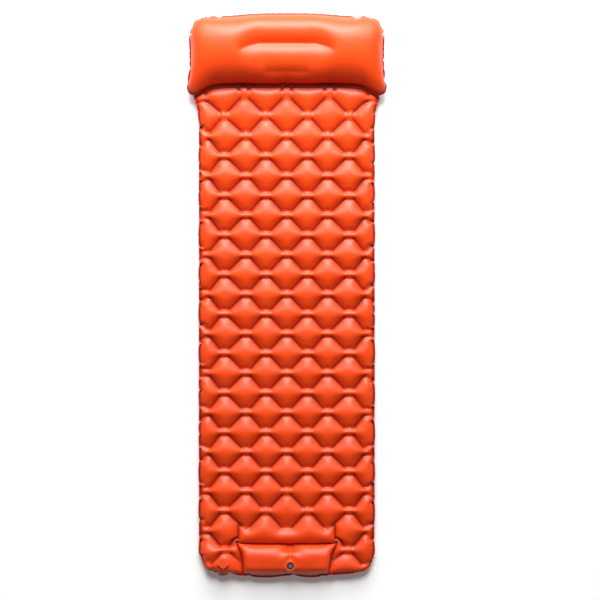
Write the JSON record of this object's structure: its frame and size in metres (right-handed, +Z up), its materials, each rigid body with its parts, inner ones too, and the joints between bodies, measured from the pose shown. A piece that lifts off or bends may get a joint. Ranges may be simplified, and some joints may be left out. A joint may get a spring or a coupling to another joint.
{
  "type": "inflatable sleeping pad",
  "caption": "Long orange inflatable sleeping mat with diamond welds, a wider built-in pillow at the head, a foot pump at the foot and a hinged two-stage corner valve.",
  "frame": {"origin": "on the ground under the middle of the inflated pad", "axes": "+Y towards the pillow at the head end, +Z up, +X to the right when lying on the back with the head at +Y"},
  "size_m": [0.676, 1.9, 0.122],
  "materials": {
    "orange_fabric": "matte, finely woven, lightly sheened",
    "orange_tpu": "satin",
    "inner_film": "satin film",
    "grey_foam": "open-cell foam",
    "black_rubber": "matte",
    "grey_plastic": "satin"
  },
  "bodies": {
    "mat": {"mat_upper_panel": "orange_fabric", "mat_lower_panel": "orange_fabric", "pillow_upper_panel": "orange_fabric", "pillow_lower_panel": "orange_fabric", "tie_strip_head": "inner_film", "tie_strip_neck": "inner_film", "pump_liner": "inner_film", "pump_foam": "grey_foam", "transfer_flange": "inner_film", "transfer_seat": "grey_plastic", "transfer_pin": "grey_plastic", "valve_base": "orange_tpu"},
    "pump_top": {"pump_cover": "orange_fabric", "intake_flange": "orange_tpu", "intake_seat": "grey_plastic", "intake_pin": "grey_plastic"},
    "intake_disc": {"intake_disc": "black_rubber"},
    "transfer_disc": {"transfer_disc": "black_rubber"},
    "valve_insert": {"valve_insert": "orange_tpu", "valve_seat": "grey_plastic", "valve_pin": "grey_plastic", "insert_tether": "orange_tpu"},
    "valve_disc": {"valve_disc": "black_rubber"},
    "valve_cap": {"valve_cap": "orange_tpu", "cap_tether": "orange_tpu"}
  },
  "joints": [
    {"name": "pump_press", "type": "slide", "parent": "mat", "child": "pump_top", "axis": [0, 0, -1], "range_m": [0, 0.026], "stiffness_N_per_m": 1500, "deforming": ["pump_foam"]},
    {"name": "intake_check", "type": "slide", "parent": "pump_top", "child": "intake_disc", "axis": [0, 0, -1], "range_m": [0, 0.003], "stiffness_N_per_m": 5, "springref_m": -0.003},
    {"name": "transfer_check", "type": "slide", "parent": "mat", "child": "transfer_disc", "axis": [0, 1, 0], "range_m": [0, 0.002], "stiffness_N_per_m": 5, "springref_m": -0.002},
    {"name": "insert_hinge", "type": "hinge", "parent": "mat", "child": "valve_insert", "pos_m": [-0.232, -0.906, 0.0571], "axis": [0, -1, 0], "range_deg": [0, 110]},
    {"name": "valve_check", "type": "slide", "parent": "valve_insert", "child": "valve_disc", "axis": [0, 0, -1], "range_m": [0, 0.002], "stiffness_N_per_m": 5, "springref_m": -0.002},
    {"name": "cap_hinge", "type": "hinge", "parent": "valve_insert", "child": "valve_cap", "pos_m": [-0.197, -0.906, 0.0602], "axis": [0, 1, 0], "range_deg": [0, 150]}
  ]
}
